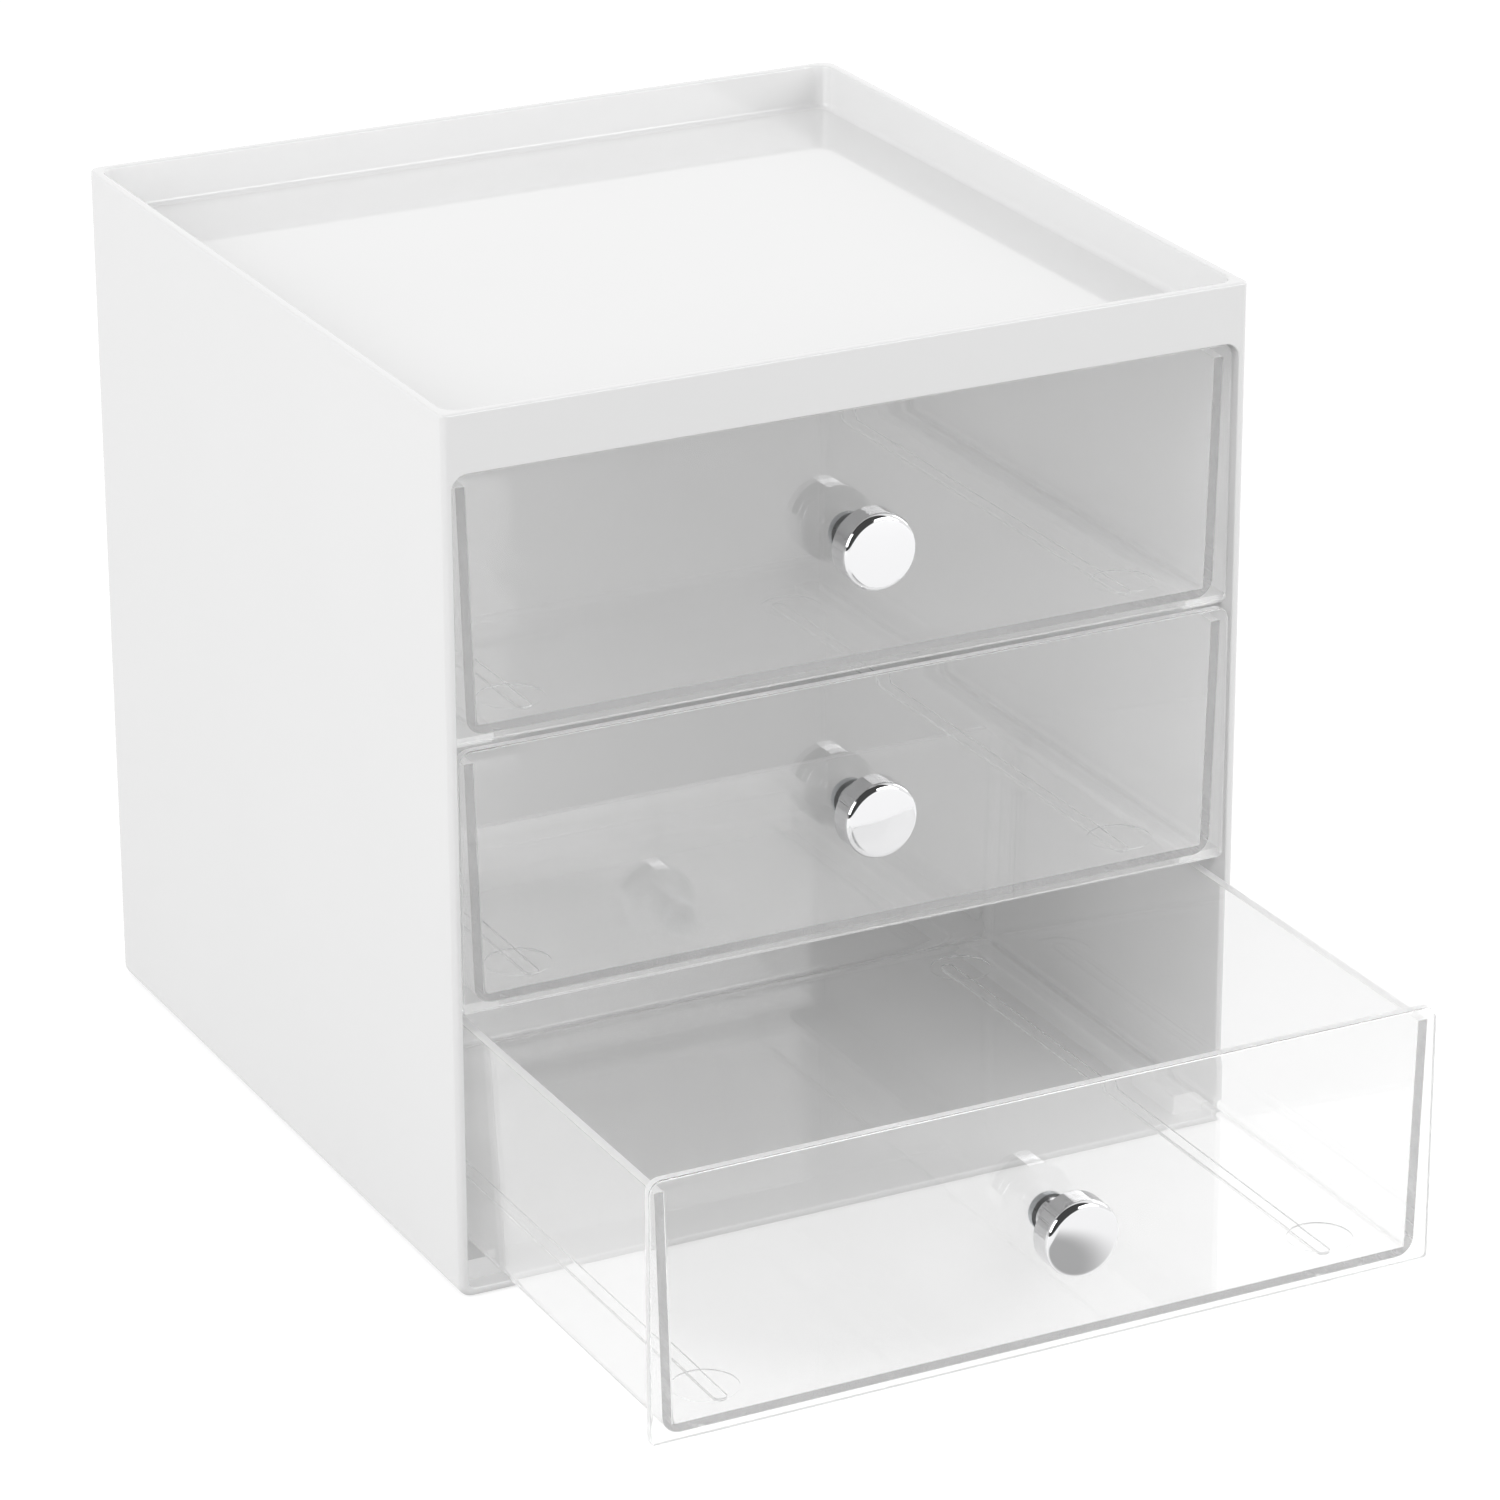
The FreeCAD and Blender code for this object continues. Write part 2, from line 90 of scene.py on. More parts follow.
class CaseSettings(bpy.types.PropertyGroup):
    """Sizes and colour of the white case."""

    wall: length("Wall", "Thickness of the sides, floor and back", 1.8)
    deck: length("Deck", "Thickness of the plate between the top drawer and the tray", 2.6)
    tray: length("Tray depth", "Depth of the tray below the rim", 9.0)
    rim: length("Rim", "Thickness of the tray's rim", 1.95)
    bay_radius: length("Opening corners", "Radius of the opening's upper corners", 3.0)
    tray_radius: length("Tray corners", "Radius of the tray's upright corners", 3.5)
    back_radius: length("Back corners", "Radius of the upright corners at the back", 3.0)
    base_radius: length("Base edges", "Radius of the edges along the base", 2.75)
    front_radius: length("Front edges", "Radius of the edges around the front", 1.2)
    opening_edge: length("Opening edges", "Radius of the edges around the opening", 0.3)
    rim_edge: length("Rim edges", "Radius of the two edges along the top of the rim", 0.45)
    bay_floor_radius: length("Opening's floor", "Radius between the opening's floor and sides", 1.5)
    tray_floor_radius: length("Tray's floor", "Radius between the tray's floor and rim", 1.2)
    ledge: length("Ledge width", "How far each drawer ledge reaches in from the side", 8.7)
    ledge_thickness: length("Ledge thickness", "Thickness of each drawer ledge", 2.0)
    ledge_setback: length("Ledge setback", "Distance of each ledge from the case's front", 3.7)
    ledge_edge: length("Ledge edges", "Radius of the ledges' edges", 0.5)
    paint: colour("Plastic colour", "Colour of the white plastic", "#EEEEEE")


class DrawerSettings(bpy.types.PropertyGroup):
    """Sizes of the clear drawers."""

    panel: length("Front thickness", "Thickness of a drawer's front", 1.8)
    wall: length("Box wall", "Thickness of the box behind the front", 1.75)
    side_inset: length("Side inset", "How far the box stands in from the front's edge at the top", 1.5)
    draft: length("Draft", "How much further in the box stands at its floor", 1.3)
    floor_rise: length("Floor rise", "Height of the box's underside above the front's lower edge", 1.2)
    top_drop: length("Top drop", "Drop from the front's upper edge to the box's rim", 2.8)
    top_radius: length("Upper corners", "Radius of the front's upper corners", 2.7)
    base_radius: length("Lower corners", "Radius of the front's lower corners", 1.0)
    face_edge: length("Face edges", "Radius of the edges around the front's outer face", 0.4)
    back_edge: length("Back edges", "Radius of the edges around the front's inner face", 0.25)
    box_corner: length("Box corners", "Radius of the box's upright corners at the back", 3.7)
    box_base: length("Box base", "Radius of the box's edges along its underside", 3.5)
    room_corner: length("Room corners", "Radius of the upright corners inside, at the back", 1.3)
    room_front: length("Room front", "Radius of the upright corners inside, at the front", 0.4)
    room_foot: length("Room foot", "Radius between the floor and the front, inside", 0.35)
    room_base: length("Room base", "Radius between the floor and the other walls, inside", 1.2)
    rim_edge: length("Rim edges", "Radius of the edges of the box's rim", 0.25)
    runner: length("Runner offset", "Distance of each runner rib from the middle", 62.7)
    runner_width: length("Runner width", "Width of each runner rib", 2.6)
    runner_depth: length("Runner depth", "How far each runner rib stands out below the floor", 0.9)
    runner_setback: length("Runner setback", "Distance of the runner ribs' ends from the box's", 8.0)
    mark: length("Mark diameter", "Diameter of the round marks in the floor", 12.5)
    mark_depth: length("Mark depth", "Depth of the round marks", 0.25)
    mark_offset: length("Mark offset", "Distance of each mark's centre from the middle", 64.0)
    mark_setback: length("Mark setback", "Distance of each mark's centre from the front or back", 12.4)
    hole: length("Hole diameter", "Diameter of the hole for the knob's screw", 4.5)
    hole_rise: length("Hole rise", "Height of the hole above the front's middle", 1.3)


class KnobSettings(bpy.types.PropertyGroup):
    """Sizes of the knobs and of the screws that hold them."""

    diameter: length("Knob diameter", "Diameter of the knob's disc", 15.0)
    reach: length("Knob reach", "How far the knob stands out from the drawer's front", 11.5)
    head: length("Disc depth", "Depth of the knob's disc", 5.8)
    neck: length("Neck diameter", "Diameter of the neck behind the disc", 7.0)
    dome: length("Dome", "Height of the knob's slightly domed face", 0.3)
    edge: length("Face edge", "Radius of the edge around the knob's face", 1.3)
    back_edge: length("Back edge", "Radius of the edge at the back of the disc", 0.6)
    throat: length("Throat", "Radius between the neck and the disc", 0.8)
    bore: length("Bore", "Diameter of the bore for the screw", 4.1)
    bore_depth: length("Bore depth", "Depth of the bore", 8.0)
    shank: length("Screw shank", "Diameter of the screw", 4.0)
    shank_depth: length("Screw depth", "How far the screw reaches into the knob", 6.5)
    screw_head: length("Screw head", "Diameter of the screw's head", 7.6)
    screw_height: length("Head height", "Height of the screw's head", 2.4)
    head_edge: length("Head edge", "Radius of the edge of the screw's head", 1.4)
    recess: length("Recess", "Length of each arm of the cross recess across the head", 4.2)
    recess_width: length("Recess width", "Width of each arm of the cross recess", 0.8)
    recess_depth: length("Recess depth", "Depth of the cross recess", 1.6)
    sides: IntProperty(name="Sides", description="Sides of each turned piece", default=96, min=24)


def make_mesh(name, shape):
    """A new object with the finished bmesh as its mesh."""
    mesh = bpy.data.meshes.new(name)
    bmesh.ops.recalc_face_normals(shape, faces=shape.faces)
    shape.to_mesh(mesh)
    shape.free()
    piece = bpy.data.objects.new(name, mesh)
    bpy.context.scene.collection.objects.link(piece)
    return piece


def block(low, high):
    """A box between two corners."""
    shape = bmesh.new()
    bmesh.ops.create_cube(shape, size=1.0)
    low, high = Vector(low), Vector(high)
    for vert in shape.verts:
        vert.co = Vector([low[i] if vert.co[i] < 0 else high[i] for i in range(3)])
    return shape


def tapered_block(front, back, floor, top, floor_half, top_half):
    """A box whose sides lean out from its floor to its top."""
    shape = block((-top_half, front, floor), (top_half, back, top))
    for vert in shape.verts:
        if close_to(vert.co.z, floor):
            vert.co.x = math.copysign(floor_half, vert.co.x)
    return shape


def close_to(one, other):
    """True when two lengths agree to two hundredths of a millimetre."""
    return abs(one - other) < 0.02 * MM


def round_off(shape, radius, steps, chosen):
    """Rounds the edges that the test chooses by the middle and the run of each edge."""
    edges = []
    for edge in shape.edges:
        one, other = edge.verts[0].co, edge.verts[1].co
        if chosen((one + other) / 2, other - one):
            edges.append(edge)
    if not edges:
        raise RuntimeError("no edge to round")
    bmesh.ops.bevel(shape, geom=edges, offset=radius, offset_type="OFFSET", segments=steps,
                    profile=0.5, affect="EDGES", clamp_overlap=True)


def upright(run):
    """True for an edge that stands."""
    return abs(run.z) > 0.9 * run.length


def lengthwise(run):
    """True for an edge that runs from front to back."""
    return abs(run.y) > 0.9 * run.length


def combine(piece, tool, operation):
    """Cuts or joins a tool with a piece and leaves only the result."""
    step = piece.modifiers.new(operation, "BOOLEAN")
    step.object = tool
    step.operation = operation
    step.solver = "EXACT"
    graph = bpy.context.evaluated_depsgraph_get()
    result = bpy.data.meshes.new_from_object(piece.evaluated_get(graph))
    piece.modifiers.clear()
    old = piece.data
    piece.data = result
    result.name = piece.name
    bpy.data.meshes.remove(old)
    bpy.data.objects.remove(tool, do_unlink=True)


def edit(piece, change):
    """Clears the slivers that cuts leave in a piece's mesh, and runs a change on it."""
    shape = bmesh.new()
    shape.from_mesh(piece.data)
    bmesh.ops.remove_doubles(shape, verts=shape.verts, dist=0.004 * MM)
    bmesh.ops.dissolve_degenerate(shape, edges=shape.edges, dist=0.002 * MM)
    change(shape)
    bmesh.ops.recalc_face_normals(shape, faces=shape.faces)
    shape.to_mesh(piece.data)
    shape.free()


def smooth(piece, angle=32):
    """Smooth shading over the roundings, with the flat faces kept flat."""
    piece.data.shade_smooth()
    piece.data.set_sharp_from_angle(angle=math.radians(angle))
    step = piece.modifiers.new("flat faces", "WEIGHTED_NORMAL")
    step.keep_sharp = True
    step.weight = 90


def turned(outline, sides):
    """A solid turned about the y axis from its half outline of (radius, y) pairs."""
    shape = bmesh.new()
    rings = []
    for radius, y in outline:
        if radius < 1e-9:
            rings.append([shape.verts.new((0, y, 0))])
            continue
        ring = []
        for k in range(sides):
            turn = 2 * math.pi * k / sides
            ring.append(shape.verts.new((radius * math.cos(turn), y, radius * math.sin(turn))))
        rings.append(ring)
    for ring, after in zip(rings, rings[1:]):
        for k in range(sides):
            j = (k + 1) % sides
            if len(ring) == 1:
                shape.faces.new((ring[0], after[k], after[j]))
            elif len(after) == 1:
                shape.faces.new((ring[k], after[0], ring[j]))
            else:
                shape.faces.new((ring[k], after[k], after[j], ring[j]))
    return shape


def corner(centre, radius, start, end, steps=8):
    """Points of a rounding in a half outline, from one angle to another in degrees."""
    points = []
    for k in range(steps + 1):
        turn = math.radians(start + (end - start) * k / steps)
        points.append((centre[0] + radius * math.cos(turn), centre[1] + radius * math.sin(turn)))
    return points


def add_node(tree, kind, place, links=(), **settings):
    """Adds a shader node with its settings, and the links that lead into its inputs."""
    node = tree.nodes.new(kind)
    node.location = place
    for key, value in settings.items():
        if hasattr(node, key):
            setattr(node, key, value)
        else:
            node.inputs[key.replace("_", " ")].default_value = value
    for source, socket in links:
        tree.links.new(source, node.inputs[socket])
    return node


def new_material(name):
    """An empty material with its node tree, its output and its Principled shader."""
    material = bpy.data.materials.new(name)
    material.use_nodes = True
    tree = material.node_tree
    tree.nodes.clear()
    shader = add_node(tree, "ShaderNodeBsdfPrincipled", (300, 0))
    add_node(tree, "ShaderNodeOutputMaterial", (700, 0), [(shader.outputs[0], "Surface")])
    return material, tree, shader


def set_sockets(shader, **values):
    """Sets the shader's own sockets."""
    for key, value in values.items():
        shader.inputs[key.replace("_", " ")].default_value = value


def surface_pattern(tree, size_mm, detail, place):
    """A noise whose features are about the given size, in the piece's own coordinates."""
    where = add_node(tree, "ShaderNodeTexCoord", (place[0] - 200, place[1]))
    return add_node(tree, "ShaderNodeTexNoise", place, [(where.outputs["Object"], "Vector")],
                    Scale=1.0 / (size_mm * MM), Detail=detail)


def uneven_gloss(tree, shader, size_mm, detail, low, high):
    """Roughness that drifts between two values in patches of about the given size."""
    patches = surface_pattern(tree, size_mm, detail, (-700, -100))
    level = add_node(tree, "ShaderNodeMapRange", (-300, -100), [(patches.outputs["Fac"], "Value")],
                     To_Min=low, To_Max=high)
    tree.links.new(level.outputs["Result"], shader.inputs["Roughness"])


def flow_waves(tree, shader, size_mm, height_mm):
    """Low waves of about the given size and height over the surface."""
    waves = surface_pattern(tree, size_mm, 1.0, (-700, -400))
    relief = add_node(tree, "ShaderNodeBump", (-300, -400), [(waves.outputs["Fac"], "Height")],
                      Strength=1.0, Distance=height_mm * MM)
    tree.links.new(relief.outputs["Normal"], shader.inputs["Normal"])


def let_light_in(tree, shader, share, kinds):
    """Lets a share of the light pass each face, for one or two kinds of ray that carry light."""
    output = tree.get_output_node("ALL")
    path = add_node(tree, "ShaderNodeLightPath", (100, 400))
    lights = path.outputs[kinds[0]]
    if len(kinds) > 1:
        lights = add_node(tree, "ShaderNodeMath", (300, 400),
                          [(path.outputs[kinds[0]], 0), (path.outputs[kinds[1]], 1)],
                          operation="MAXIMUM").outputs[0]
    clear = add_node(tree, "ShaderNodeBsdfTransparent", (300, 200), Color=(share, share, share, 1.0))
    both = add_node(tree, "ShaderNodeMixShader", (520, 100),
                    [(lights, 0), (shader.outputs[0], 1), (clear.outputs[0], 2)])
    tree.links.new(both.outputs[0], output.inputs["Surface"])


def white_plastic(paint):
    """Injection-moulded white polystyrene: opaque, with the crisp gloss of a polished mould."""
    material, tree, shader = new_material("moulded_white_polystyrene")
    set_sockets(shader, IOR=1.59, Specular_IOR_Level=0.5)
    # The colour drifts by a percent or so where the melt cooled at different rates.
    drift = surface_pattern(tree, size_mm=60.0, detail=2.0, place=(-700, 200))
    deepest = 0.975
    mix = add_node(tree, "ShaderNodeMix", (-300, 200), [(drift.outputs["Fac"], "Factor")],
                   data_type="RGBA")
    mix.inputs[COLOUR_A].default_value = opaque(c * deepest for c in paint)
    mix.inputs[COLOUR_B].default_value = opaque(paint)
    tree.links.new(mix.outputs[COLOUR_MIXED], shader.inputs["Base Color"])
    # Handling leaves the gloss uneven in patches a few millimetres across.
    uneven_gloss(tree, shader, size_mm=7.0, detail=4.0, low=0.04, high=0.08)
    # Sink and flow lines of the moulding: waves of about 9 mm, a few thousandths of a millimetre high.
    flow_waves(tree, shader, size_mm=9.0, height_mm=0.004)
    # Walls under 2 mm thick glow through: about a sixth of the light passes both of their faces.
    let_light_in(tree, shader, share=0.42, kinds=("Is Shadow Ray",))
    return material


def clear_plastic(tint):
    """Injection-moulded clear polystyrene: polished both sides, so it is see-through and bright-edged,
    partly by a faint painted glow.
    """
    material, tree, shader = new_material("moulded_clear_polystyrene")
    set_sockets(shader, IOR=1.59, Transmission_Weight=0.93, Base_Color=opaque(tint))
    # A faint painted glow over the whole plastic stands in for the light that the walls pipe to their
    # edges, which look a little brighter than what is behind them.
    set_sockets(shader, Emission_Color=WHITE, Emission_Strength=0.015)
    material.cycles.emission_sampling = "NONE"
    # Fine rub marks scatter the gloss a little in patches of about 4 mm.
    uneven_gloss(tree, shader, size_mm=4.0, detail=5.0, low=0.0, high=0.02)
    # Flow waves of about 14 mm bend what is seen through the plastic very slightly.
    flow_waves(tree, shader, size_mm=14.0, height_mm=0.0012)
    # Clear plastic lets light through to what lies behind it, so its shadow is nearly clear.
    let_light_in(tree, shader, share=0.98, kinds=("Is Shadow Ray", "Is Diffuse Ray"))
    return material


def satin_and_glow_plastic(tint):
    """Clear polystyrene where the mould's halves meet: satin, with a painted glow that stands in for the
    light in the walls coming out there.
    """
    material, tree, shader = new_material("satin_glow_clear_polystyrene")
    set_sockets(shader, IOR=1.59, Transmission_Weight=0.4, Base_Color=opaque(tint))
    # Painted glow: this emission stands in for the light that the walls carry out at these edges.
    set_sockets(shader, Emission_Color=WHITE, Emission_Strength=0.05)
    material.cycles.emission_sampling = "NONE"
    # The parting line is left as cut, with a grain of about 0.5 mm.
    uneven_gloss(tree, shader, size_mm=0.5, detail=3.0, low=0.25, high=0.45)
    let_light_in(tree, shader, share=0.9, kinds=("Is Shadow Ray", "Is Diffuse Ray"))
    return material


def bright_chrome(face):
    """Chrome plating over polished zinc: a mirror that shows the white room with dark edges."""
    material, tree, shader = new_material("plated_chrome")
    set_sockets(shader, Metallic=1.0, Base_Color=opaque(face))
    # Polishing haze in patches of about 2 mm.
    uneven_gloss(tree, shader, size_mm=2.0, detail=3.0, low=0.03, high=0.07)
    return material


def zinc_steel(face):
    """Zinc-plated steel of a machine screw: dull bright grey with a faint grain."""
    material, tree, shader = new_material("zinc_plated_steel")
    set_sockets(shader, Metallic=1.0, Base_Color=opaque(face))
    # The plating's grain is about 0.4 mm.
    uneven_gloss(tree, shader, size_mm=0.4, detail=3.0, low=0.22, high=0.38)
    return material


def seen_rays(tree, place):
    """A node that gives 1 to rays that look at a surface, straight or by way of metal or plastic."""
    path = add_node(tree, "ShaderNodeLightPath", place)
    first = add_node(tree, "ShaderNodeMath", (place[0] + 200, place[1]),
                     [(path.outputs["Is Camera Ray"], 0), (path.outputs["Is Glossy Ray"], 1)],
                     operation="MAXIMUM")
    return add_node(tree, "ShaderNodeMath", (place[0] + 400, place[1]),
                    [(first.outputs[0], 0), (path.outputs["Is Transmission Ray"], 1)],
                    operation="MAXIMUM")


class ORGANIZER_OT_case(bpy.types.Operator):
    """Builds the white case: shell, opening, tray and the ledges that carry the drawers"""

    bl_idname = "organizer.case"
    bl_label = "Case"

    def execute(self, context):
        s = context.scene.organizer_case
        bay_half = CASE_HIGH[0] - s.wall
        bay_top = CASE_HIGH[2] - s.tray - s.deck
        rim_half = CASE_HIGH[0] - s.rim
        rim_back = CASE_HIGH[1] - s.rim
        case = self.shell(s)
        self.bay(case, s, bay_half, bay_top)
        self.tray(case, s, rim_half, rim_back)
        self.ledges(case, s, bay_half, context.scene.organizer_drawer.floor_rise)
        edit(case, lambda shape: self.soften(shape, s, bay_half, bay_top, rim_half, rim_back))
        smooth(case)
        case.data.materials.append(white_plastic(s.paint))
        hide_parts("case")
        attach(case, "case")
        return {"FINISHED"}

    def shell(self, s):
        """The case's outside, with its edges rounded."""
        front, top = CASE_LOW[1], CASE_HIGH[2]
        shape = block(CASE_LOW, CASE_HIGH)
        round_off(shape, s.back_radius, 8, lambda mid, run: upright(run) and mid.y > 0)
        round_off(shape, s.base_radius, 8, lambda mid, run: close_to(mid.z, 0)
                  and (lengthwise(run) or mid.y > 0))
        round_off(shape, s.front_radius, 5, lambda mid, run: close_to(mid.y, front)
                  and not close_to(mid.z, top))
        round_off(shape, s.rim_edge, 3, lambda mid, run: close_to(mid.z, top))
        return make_mesh("case_shell", shape)

    def bay(self, case, s, bay_half, bay_top):
        """Cuts the bay that the drawers slide in, open at the front."""
        shape = block((-bay_half, CASE_LOW[1] - OVERSHOOT, s.wall),
                      (bay_half, CASE_HIGH[1] - s.wall, bay_top))
        round_off(shape, s.bay_radius, 8, lambda mid, run: lengthwise(run)
                  and close_to(mid.z, bay_top))
        round_off(shape, s.bay_floor_radius, 5, lambda mid, run: lengthwise(run)
                  and close_to(mid.z, s.wall))
        combine(case, make_mesh("bay_tool", shape), "DIFFERENCE")

    def tray(self, case, s, rim_half, rim_back):
        """Cuts the tray in the case's top."""
        floor = CASE_HIGH[2] - s.tray
        shape = block((-rim_half, -rim_back, floor), (rim_half, rim_back, CASE_HIGH[2] + OVERSHOOT))
        round_off(shape, s.tray_radius, 8, lambda mid, run: upright(run))
        round_off(shape, s.tray_floor_radius, 5, lambda mid, run: close_to(mid.z, floor))
        combine(case, make_mesh("tray_tool", shape), "DIFFERENCE")

    def soften(self, shape, s, bay_half, bay_top, rim_half, rim_back):
        """Rounds the edges around the opening and along the inside of the rim."""
        slack = 0.05 * MM
        round_off(shape, s.opening_edge, 3, lambda mid, run: close_to(mid.y, CASE_LOW[1])
                  and abs(mid.x) < bay_half + slack and s.wall - slack < mid.z < bay_top + slack)
        round_off(shape, s.rim_edge, 3, lambda mid, run: close_to(mid.z, CASE_HIGH[2])
                  and abs(mid.x) < rim_half + slack and abs(mid.y) < rim_back + slack)

    def ledges(self, case, s, bay_half, floor_rise):
        """Joins a ledge to each side under every drawer, and closes the lowest ones to the floor."""
        front, back = CASE_LOW[1], CASE_HIGH[1]
        for row in ROWS:
            drawer_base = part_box("drawer_" + row)[0][2]
            level = drawer_base + floor_rise - RUNNING_GAP
            bottom = s.wall / 2 if row == "bottom" else level - s.ledge_thickness
            for side in (-1, 1):
                inner = side * (bay_half - s.ledge)
                near, far = sorted((inner, side * (bay_half + s.wall / 2)))
                shape = block((near, front + s.ledge_setback, bottom), (far, back - s.wall / 2, level))
                round_off(shape, s.ledge_edge, 3, lambda mid, run: close_to(mid.x, inner)
                          and not close_to(mid.z, bottom) and mid.y < back - s.wall)
                combine(case, make_mesh("ledge_tool", shape), "UNION")


class ORGANIZER_OT_drawers(bpy.types.Operator):
    """Builds the three clear drawers, each a thick front with a drafted box behind it"""

    bl_idname = "organizer.drawers"
    bl_label = "Drawers"

    def execute(self, context):
        s = context.scene.organizer_drawer
        low, high = (Vector(c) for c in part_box("drawer_top"))
        half, height, run_length = high.x, high.z - low.z, high.y - low.y
        tint = context.scene.organizer_stage.tint
        model = self.mould(s, half, height, run_length)
        model.data.materials.append(clear_plastic(tint))
        model.data.materials.append(satin_and_glow_plastic(tint))
        for row in ROWS:
            drawer = bpy.data.objects.new("clear_drawer_" + row, model.data.copy())
            context.scene.collection.objects.link(drawer)
            smooth(drawer)
            _, front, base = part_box("drawer_" + row)[0]
            drawer.location = (0, front, base)
            context.view_layer.update()
            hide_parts("drawer_" + row)
            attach(drawer, "drawer_" + row)
        bpy.data.objects.remove(model, do_unlink=True)
        return {"FINISHED"}

    def mould(self, s, half, height, run_length):
        """One drawer, with its front's lower edge on the origin."""
        rim = height - s.top_drop
        rim_half = half - s.side_inset
        floor_half = rim_half - s.draft
        drawer = self.front(s, half, height)
        self.box(drawer, s, run_length, rim, rim_half, floor_half)
        self.room(drawer, s, run_length, rim, rim_half, floor_half)
        for side in (-1, 1):
            self.runner(drawer, s, side, run_length)
            for place in (s.mark_setback, run_length - s.mark_setback):
                self.mark(drawer, s, side * s.mark_offset, place)
        self.hole(drawer, s, height / 2 + s.hole_rise)
        edit(drawer, lambda shape: round_off(shape, s.rim_edge, 2, lambda mid, run:
                                             close_to(mid.z, rim) and mid.y > s.panel + 0.05 * MM))
        edit(drawer, lambda shape: self.satin_and_glow_edges(shape, s, rim, rim_half))
        return drawer

    def front(self, s, half, height):
        """The drawer's thick front."""
        shape = block((-half, 0, 0), (half, s.panel, height))
        round_off(shape, s.top_radius, 8, lambda mid, run: lengthwise(run) and mid.z > height / 2)
        round_off(shape, s.base_radius, 4, lambda mid, run: lengthwise(run) and close_to(mid.z, 0))
        round_off(shape, s.face_edge, 3, lambda mid, run: close_to(mid.y, 0))
        round_off(shape, s.back_edge, 2, lambda mid, run: close_to(mid.y, s.panel))
        return make_mesh("drawer_model", shape)

    def box(self, drawer, s, run_length, rim, rim_half, floor_half):
        """Joins the outside of the drafted box to the front."""
        shape = tapered_block(s.panel / 2, run_length, s.floor_rise, rim, floor_half, rim_half)
        round_off(shape, s.box_corner, 8, lambda mid, run: upright(run)
                  and close_to(mid.y, run_length))
        round_off(shape, s.box_base, 8, lambda mid, run: close_to(mid.z, s.floor_rise)
                  and mid.y > s.panel)
        combine(drawer, make_mesh("box_tool", shape), "UNION")

    def room(self, drawer, s, run_length, rim, rim_half, floor_half):
        """Hollows the box out, with walls that lean as its outside does."""
        floor = s.floor_rise + s.wall
        top = rim + OVERSHOOT
        lean = (rim_half - floor_half) / (rim - s.floor_rise)
        room_half = floor_half - s.wall
        shape = tapered_block(s.panel, run_length - s.wall, floor, top, room_half,
                              room_half + lean * (top - floor))
        round_off(shape, s.room_corner, 5, lambda mid, run: upright(run) and mid.y > s.panel * 2)
        round_off(shape, s.room_front, 3, lambda mid, run: upright(run)
                  and close_to(mid.y, s.panel))
        round_off(shape, s.room_foot, 3, lambda mid, run: close_to(mid.z, floor)
                  and close_to(mid.y, s.panel))
        round_off(shape, s.room_base, 5, lambda mid, run: close_to(mid.z, floor)
                  and mid.y > s.panel + s.room_front)
        combine(drawer, make_mesh("room_tool", shape), "DIFFERENCE")

    def runner(self, drawer, s, side, run_length):
        """Joins a runner rib to the floor's underside."""
        base = s.floor_rise - s.runner_depth
        near, far = (side * s.runner + way * s.runner_width / 2 for way in (-1, 1))
        shape = block((near, s.runner_setback, base),
                      (far, run_length - s.runner_setback, s.floor_rise + s.wall / 4))
        # The ends are almost fully round: a rounding of half the width would leave no flat.
        round_off(shape, 0.45 * s.runner_width, 6, lambda mid, run: upright(run))
        round_off(shape, s.rim_edge, 2, lambda mid, run: close_to(mid.z, base))
        combine(drawer, make_mesh("runner_tool", shape), "UNION")

    def mark(self, drawer, s, x, y):
        """Cuts a shallow round mark in the box's floor."""
        shape = bmesh.new()
        bmesh.ops.create_cone(shape, cap_ends=True, segments=64, radius1=s.mark / 2,
                              radius2=s.mark / 2, depth=2 * OVERSHOOT)
        height = s.floor_rise + s.wall - s.mark_depth + OVERSHOOT
        bmesh.ops.translate(shape, verts=shape.verts, vec=(x, y, height))
        combine(drawer, make_mesh("mark_tool", shape), "DIFFERENCE")

    def hole(self, drawer, s, height):
        """Cuts the hole for the knob's screw through the front."""
        radius = s.hole / 2
        shape = turned([(0, -OVERSHOOT), (radius, -OVERSHOOT), (radius, OVERSHOOT), (0, OVERSHOOT)], 48)
        bmesh.ops.translate(shape, verts=shape.verts, vec=(0, 0, height))
        combine(drawer, make_mesh("hole_tool", shape), "DIFFERENCE")

    def satin_and_glow_edges(self, shape, s, rim, rim_half):
        """Gives the walls' rims and the front's outer edges the satin finish with its painted glow."""
        shape.normal_update()
        slant = 0.6  # the part of a normal along one axis, beyond which a face counts as facing it
        for face in shape.faces:
            mid = face.calc_center_median()
            outside = abs(mid.x) > rim_half or mid.z > rim or mid.z < s.floor_rise
            front = mid.y < s.panel and abs(face.normal.y) < slant and outside
            wall = mid.y > s.panel and mid.z > rim - s.rim_edge and face.normal.z > slant
            face.material_index = 1 if front or wall else 0


